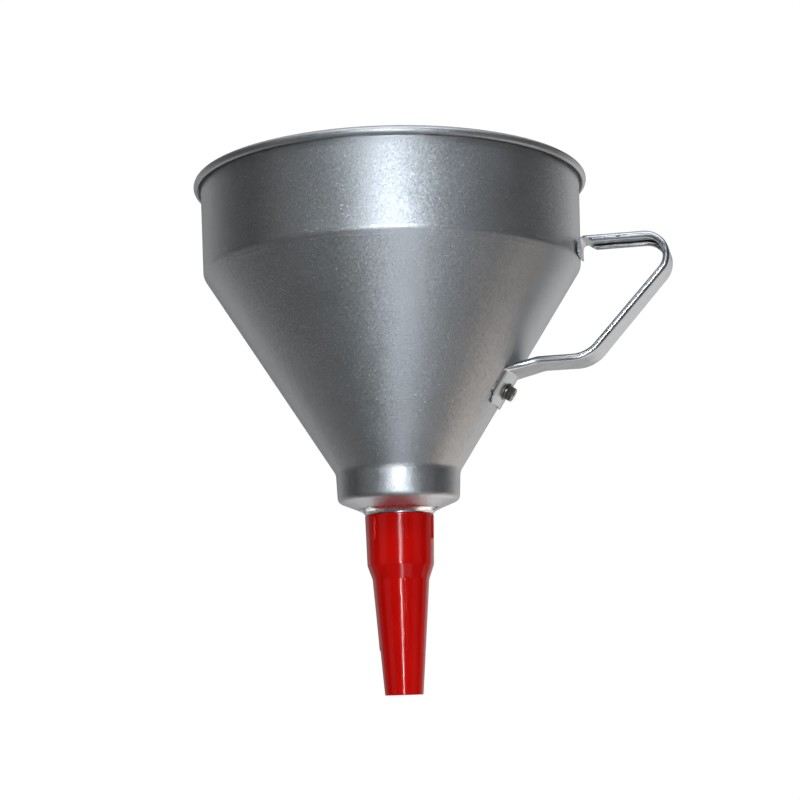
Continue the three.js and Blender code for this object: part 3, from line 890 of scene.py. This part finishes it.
def bail():
    leg_y = BRACKET_Y - WIRE_R - 0.15
    pin_y = BRACKET_Y + BRACKET_THICK + 0.6
    flat = rounded(
        [
            (0, -pin_y, 0),
            (0, -leg_y, BAIL_BEND),
            (-BAIL_REACH, -leg_y, BAIL_BOW),
            (-BAIL_REACH, leg_y, BAIL_BOW),
            (0, leg_y, BAIL_BEND),
            (0, pin_y, 0),
        ],
        closed=False,
        step=6,
    )
    drop = math.radians(BAIL_DROP)
    path = [(x * math.cos(drop), y, PIVOT_Z + x * math.sin(drop)) for x, y in flat]
    side = Vector((-math.sin(drop), 0, math.cos(drop)))
    verts, faces = tube(path, side, WIRE_R, sides=20)
    made = piece("bail_wire", verts, faces, sharp=50)
    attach(made, "bail")
    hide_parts("strainer_bail")
    return made


# ---- materials -----------------------------------------------------------------------------------


class Look:
    """A principled material whose inputs are driven by node-made detail, in millimetres of the object."""

    def __init__(self, name):
        self.material = bpy.data.materials.new(name)
        self.material.use_nodes = True
        self.tree = self.material.node_tree
        self.bsdf = self.tree.nodes["Principled BSDF"]
        place = self.add("TexCoord").outputs["Object"]
        self.mm = self.add("VectorMath", {"operation": "SCALE"}, Vector=place, Scale=1 / MM).outputs[0]

    def add(self, kind, settings=None, **inputs):
        node = self.tree.nodes.new("ShaderNode" + kind)
        for key, value in (settings or {}).items():
            setattr(node, key, value)
        for key, value in inputs.items():
            self.feed(node.inputs[key.replace("_", " ")], value)
        return node

    def feed(self, socket, value):
        if isinstance(value, bpy.types.NodeSocket):
            self.tree.links.new(value, socket)
        else:
            socket.default_value = value

    def math(self, operation, a, b):
        node = self.add("Math", {"operation": operation})
        self.feed(node.inputs[0], a)
        self.feed(node.inputs[1], b)
        return node.outputs[0]

    def noise(self, size, detail=3.0, rough=0.55, stretch=(1, 1, 1)):
        """Noise from 0 to 1 with features about `size` millimetres, times `stretch` along each axis."""
        scaled = self.add("VectorMath", {"operation": "MULTIPLY"}, Vector=self.mm)
        scaled.inputs[1].default_value = [1 / (size * s) for s in stretch]
        made = self.add("TexNoise", Vector=scaled.outputs[0], Scale=1.0, Detail=detail, Roughness=rough)
        return made.outputs["Fac"]

    def cells(self, size):
        """A random colour for each small cell, for flakes and speckle."""
        return self.add("TexVoronoi", {"feature": "F1"}, Vector=self.mm, Scale=1 / size).outputs["Color"]

    def flakes(self, colour, tilt, normal):
        """The normal, tilted at random in each cell of colour."""
        centred = self.add("VectorMath", {"operation": "SUBTRACT"}, Vector=colour)
        centred.inputs[1].default_value = (0.5, 0.5, 0.5)
        scaled = self.add("VectorMath", {"operation": "SCALE"}, Vector=centred.outputs[0], Scale=tilt)
        total = self.add("VectorMath", {"operation": "ADD"}, Vector=scaled.outputs[0])
        self.feed(total.inputs[1], normal)
        return self.add("VectorMath", {"operation": "NORMALIZE"}, Vector=total.outputs[0]).outputs[0]

    def spread(self, value, low, high, from_low=0.3, from_high=0.7):
        """value from one range to another, clamped."""
        ends = {"From_Min": from_low, "From_Max": from_high, "To_Min": low, "To_Max": high}
        return self.add("MapRange", {"clamp": True}, Value=value, **ends).outputs[0]

    def mix(self, share, a, b):
        """A colour between a and b."""
        node = self.add("Mix", {"data_type": "RGBA"})
        self.feed(node.inputs["Factor"], share)
        for socket, value in zip([s for s in node.inputs if s.type == "RGBA"], (a, b)):
            self.feed(socket, (*value, 1.0) if isinstance(value, tuple) and len(value) == 3 else value)
        return node.outputs[2]

    def bump(self, height, strength, distance, normal=None):
        node = self.add("Bump", Height=height, Strength=strength, Distance=distance * MM)
        if normal is not None:
            self.feed(node.inputs["Normal"], normal)
        return node.outputs[0]

    def set(self, **inputs):
        for key, value in inputs.items():
            self.feed(self.bsdf.inputs[key.replace("_", " ")], value)
        return self.material


def silver_lacquer():
    """Metallic lacquer: fine flakes that catch the light one by one, a few of them far tilted."""
    look = Look("silver_lacquer")
    flake = look.cells(0.30)
    rare = look.add("SeparateXYZ", Vector=look.cells(0.5)).outputs[0]
    tilt = look.spread(rare, 0.19, 0.65, 0.93, 0.99)
    cloud = look.noise(30.0, 3.0)
    grain = look.noise(1.4, 3.0)
    tone = look.math("ADD", look.spread(grain, 0.42, 0.58), look.spread(cloud, -0.08, 0.08))
    colour = look.mix(tone, (0.50, 0.505, 0.515), (0.64, 0.65, 0.66))
    rough = look.math("ADD", look.spread(cloud, 0.40, 0.45), look.spread(grain, -0.03, 0.03))
    peel = look.bump(look.noise(1.8, 2.0), 0.06, 0.05)
    return look.set(Base_Color=colour, Metallic=1.0, Roughness=rough, Normal=look.flakes(flake, tilt, peel))


def zinc_plate():
    """Bright zinc on rolled strip: faint rolling lines along it and soft patches in the shine."""
    look = Look("zinc_plate")
    patch = look.noise(6.0, 2.0)
    lines = look.noise(0.35, 3.0, stretch=(14, 1, 14))
    colour = look.mix(look.spread(patch, 0.0, 1.0), (0.56, 0.57, 0.59), (0.66, 0.67, 0.68))
    rough = look.math("ADD", look.spread(patch, 0.26, 0.33), look.spread(lines, -0.03, 0.04))
    fine = look.bump(lines, 0.04, 0.02)
    dents = look.bump(look.noise(12.0, 1.0), 0.08, 0.08, fine)
    return look.set(Base_Color=colour, Metallic=1.0, Roughness=rough, Normal=dents)


def tinned(name, base, bright, low, high):
    """Tin or solder: bright, with frosted patches where it set."""
    look = Look(name)
    frost = look.noise(1.6, 4.0, 0.6)
    colour = look.mix(look.spread(frost, 0.0, 1.0), base, bright)
    rough = look.spread(frost, high, low)
    ripple = look.bump(look.noise(0.9, 3.0), 0.35, 0.12)
    return look.set(Base_Color=colour, Metallic=1.0, Roughness=rough, Normal=ripple)


def red_plastic():
    """Glossy moulded polyethylene: a little light goes in, the gloss is slightly uneven."""
    look = Look("red_plastic")
    flow = look.noise(12.0, 3.0, stretch=(1, 1, 3))
    fine = look.noise(0.5, 2.0)
    colour = look.mix(look.spread(flow, 0.0, 1.0), (0.64, 0.003, 0.002), (0.76, 0.006, 0.003))
    rough = look.math("ADD", look.spread(flow, 0.11, 0.16), look.spread(fine, -0.02, 0.02))
    skin = look.bump(fine, 0.10, 0.03)
    ripple = look.bump(look.noise(5.0, 1.0), 0.15, 0.12, skin)
    return look.set(
        Base_Color=colour,
        Roughness=rough,
        Normal=ripple,
        IOR=1.45,
        Subsurface_Weight=0.06,
        Subsurface_Scale=1.2 * MM,
        Subsurface_Radius=(1.0, 0.12, 0.06),
    )


def dull_steel():
    look = Look("dull_steel")
    stain = look.noise(1.1, 5.0, 0.65)
    colour = look.mix(look.spread(stain, 0.0, 1.0), (0.20, 0.165, 0.125), (0.52, 0.50, 0.47))
    rough = look.spread(stain, 0.48, 0.28)
    marks = look.bump(look.noise(0.25, 3.0), 0.25, 0.04)
    return look.set(Base_Color=colour, Metallic=1.0, Roughness=rough, Normal=marks)


def seal_rubber():
    look = Look("seal_rubber")
    dust = look.noise(0.8, 4.0)
    colour = look.mix(look.spread(dust, 0.0, 1.0), (0.012, 0.012, 0.013), (0.045, 0.043, 0.04))
    rough = look.spread(dust, 0.55, 0.8)
    return look.set(Base_Color=colour, Roughness=rough, Normal=look.bump(dust, 0.3, 0.05))


def brass(name, low, high):
    """Satin brass with brown tarnish in patches."""
    look = Look(name)
    tarnish = look.noise(3.5, 5.0, 0.6)
    lines = look.noise(0.3, 2.0, stretch=(1, 1, 8))
    colour = look.mix(look.spread(tarnish, 0.0, 1.0, 0.35, 0.75), (0.72, 0.52, 0.22), (0.46, 0.29, 0.11))
    rough = look.math("ADD", look.spread(tarnish, low, high), look.spread(lines, -0.03, 0.04))
    brushed = look.bump(lines, 0.15, 0.02)
    return look.set(Base_Color=colour, Metallic=1.0, Roughness=rough, Normal=brushed)


def floor_paint():
    """Pale to look at. What it throws back at the object is dimmer, as from a floor further off."""
    look = Look("pale_floor")
    cloud = look.noise(260.0, 3.0)
    pale = look.mix(look.spread(cloud, 0.0, 1.0), (0.90, 0.90, 0.90), (0.93, 0.93, 0.93))
    seen = look.add("LightPath").outputs["Is Camera Ray"]
    dim = (0.22, 0.22, 0.22, 1.0)
    return look.set(Base_Color=dim, Roughness=0.7, Emission_Color=pale, Emission_Strength=seen)


def finish(made, material):
    """Gives a piece its material."""
    made.data.materials.clear()
    made.data.materials.append(material)


# ---- the object ----------------------------------------------------------------------------------

silver = silver_lacquer()
zinc = zinc_plate()
steel = dull_steel()
satin_brass = brass("satin_brass", 0.22, 0.42)
wire_brass = brass("wire_brass", 0.26, 0.46)
tin = tinned("tinned_neck", (0.50, 0.51, 0.53), (0.78, 0.79, 0.80), 0.14, 0.34)
solder_tin = tinned("solder", (0.56, 0.57, 0.59), (0.88, 0.88, 0.87), 0.10, 0.32)

finish(bowl(), silver)
finish(neck(), tin)
finish(solder(), solder_tin)
finish(spout(), red_plastic())
finish(handle(), zinc)
finish(screw(), zinc)
finish(hex_nut(), steel)
plain_washer = washer("plain_washer", "flat_washer", SCREW_R + 0.15, WASHER_R, WASHER_H, WASHER_THICK, 0.15)
finish(plain_washer, steel)
sealing_washer = washer("sealing_washer", "seal_washer", SCREW_R, SEAL_R, SEAL_H, SEAL_THICK, 0.3)
finish(sealing_washer, seal_rubber())
ring, clamp, gauze, brackets = strainer()
for made in (ring, clamp, *brackets):
    finish(made, satin_brass)
finish(gauze, wire_brass)
finish(bail(), wire_brass)

# ---- floor, light and camera ---------------------------------------------------------------------

# from here on in metres and, where it isn't said, radians
FLOOR_Z, FLOOR_R = -1.0, 7.0


def floor():
    mesh = bpy.data.meshes.new("floor")
    turns = [math.radians(a) for a in around(90)]
    edge = [(FLOOR_R * math.cos(a), FLOOR_R * math.sin(a), FLOOR_Z) for a in turns]
    mesh.from_pydata(edge, [], [tuple(range(len(edge)))])
    made = bpy.data.objects.new("floor", mesh)
    bpy.context.scene.collection.objects.link(made)
    made.data.materials.append(floor_paint())


floor()

CAMERA_DISTANCE, CAMERA_HEIGHT = 0.912265, -0.004316
CAMERA_AZIMUTH = math.radians(13.0)  # the handle points this far towards the camera
CAMERA_YAW, CAMERA_PITCH, CAMERA_ROLL = -0.023599, 0.145267, 0.031297
CAMERA_LENS, SENSOR_WIDTH = 82.540, 36.0  # millimetres
CAMERA_SHIFT = (-0.05, 0.043)
LIT = Vector((0, 0, 0.16))  # where the lights stand round, and point at


def from_camera(azimuth, elevation, distance):
    """A point seen from the object at an azimuth right of the camera's and an elevation, in degrees."""
    a = CAMERA_AZIMUTH + math.radians(azimuth)
    e = math.radians(elevation)
    return LIT + distance * Vector((math.sin(a) * math.cos(e), -math.cos(a) * math.cos(e), math.sin(e)))


def area_light(name, place, size, power, colour):
    data = bpy.data.lights.new(name, "AREA")
    data.shape = "RECTANGLE"
    data.size, data.size_y = size
    data.energy = power
    data.color = colour
    made = bpy.data.objects.new(name, data)
    made.location = place
    made.rotation_euler = (LIT - place).to_track_quat("-Z", "Y").to_euler()
    made.visible_camera = False
    bpy.context.scene.collection.objects.link(made)


WHITE, COOL, WARM = (1.0, 1.0, 1.0), (0.80, 0.90, 1.0), (1.0, 0.90, 0.82)
# name, azimuth from the camera, elevation, distance, width and height in metres, power in watts, colour
LIGHTS = (
    ("key", 2, 4, 1.25, (0.16, 0.16), 3.2, COOL),
    ("key_left", -2, 8, 1.25, (0.16, 0.16), 1.15, COOL),
    ("low_wide", 20, -45, 0.8, (0.6, 0.4), 0.27, COOL),
    ("low_narrow", 5, -40, 0.8, (0.10, 0.26), 0.46, COOL),
    ("floor_right", 120, -45, 1.2, (1.0, 0.8), 2.3, WARM),
    ("floor_left", -120, -45, 1.2, (1.0, 0.8), 0.5, WHITE),
    ("floor_back", 180, -50, 1.2, (1.4, 0.8), 3.2, WHITE),
    ("back_right", 140, 0, 1.6, (0.8, 1.6), 3.0, WHITE),
    ("back_left", -140, 0, 1.6, (0.8, 1.6), 1.9, WHITE),
    ("side_right", 115, 0, 1.6, (0.8, 1.6), 1.0, WHITE),
    ("side_left", -115, 0, 1.6, (0.8, 1.6), 0.55, WHITE),
    ("front_left", -60, 0, 1.6, (0.8, 1.6), 0.7, WHITE),
    ("front_right", 60, 0, 1.6, (0.8, 1.6), 0.45, WHITE),
    ("strip", -1, -12, 1.2, (0.04, 0.40), 2.6, WHITE),
    ("back_low", 176, -8, 1.8, (1.5, 0.8), 1.9, WHITE),
    ("top_front", 0, 52, 1.4, (1.4, 0.35), 6.0, COOL),
    ("ceiling", 0, 85, 1.9, (3.6, 3.6), 22.0, WHITE),
)
for light_name, light_azimuth, light_elevation, away, extent, watts, tint in LIGHTS:
    area_light(light_name, from_camera(light_azimuth, light_elevation, away), extent, watts, tint)


ROOM_DIM, ROOM_BRIGHT, BACKDROP = 0.01, 0.02, 1.02


def sky():
    """A white backdrop to look at, and the faint light of the room, brightest behind the object."""
    world = bpy.data.worlds.new("room")
    bpy.context.scene.world = world
    world.use_nodes = True
    tree = world.node_tree
    background = tree.nodes["Background"]
    direction = tree.nodes.new("ShaderNodeTexCoord").outputs["Generated"]
    split = tree.nodes.new("ShaderNodeSeparateXYZ")
    tree.links.new(direction, split.inputs[0])
    depth = tree.nodes.new("ShaderNodeMapRange")
    depth.interpolation_type = "SMOOTHSTEP"
    tree.links.new(split.outputs["Y"], depth.inputs["Value"])
    ends = {"From Min": -0.3, "From Max": 0.8, "To Min": ROOM_DIM, "To Max": ROOM_BRIGHT}
    for key, value in ends.items():
        depth.inputs[key].default_value = value
    seen = tree.nodes.new("ShaderNodeLightPath").outputs["Is Camera Ray"]
    choice = tree.nodes.new("ShaderNodeMix")
    tree.links.new(seen, choice.inputs["Factor"])
    tree.links.new(depth.outputs[0], choice.inputs[2])
    choice.inputs[3].default_value = BACKDROP
    tree.links.new(choice.outputs[0], background.inputs["Strength"])
    background.inputs["Color"].default_value = (1.0, 1.0, 1.0, 1.0)


sky()


def camera():
    data = bpy.data.cameras.new("camera")
    data.lens = CAMERA_LENS
    data.sensor_width = SENSOR_WIDTH
    data.shift_x, data.shift_y = CAMERA_SHIFT
    data.clip_start = 0.01
    data.dof.use_dof = False
    made = bpy.data.objects.new("camera", data)
    turn = (
        Matrix.Rotation(CAMERA_AZIMUTH + CAMERA_YAW, 4, "Z")
        @ Matrix.Rotation(CAMERA_PITCH, 4, "X")
        @ Matrix.Rotation(CAMERA_ROLL, 4, "Y")
    )
    to_blender = Matrix(((1, 0, 0, 0), (0, 0, -1, 0), (0, 1, 0, 0), (0, 0, 0, 1)))
    place = Vector((math.sin(CAMERA_AZIMUTH), -math.cos(CAMERA_AZIMUTH), 0)) * CAMERA_DISTANCE
    place.z = CAMERA_HEIGHT
    made.matrix_world = Matrix.Translation(place) @ turn @ to_blender
    bpy.context.scene.collection.objects.link(made)
    bpy.context.scene.camera = made


camera()
bpy.context.scene.view_settings.view_transform = "Standard"
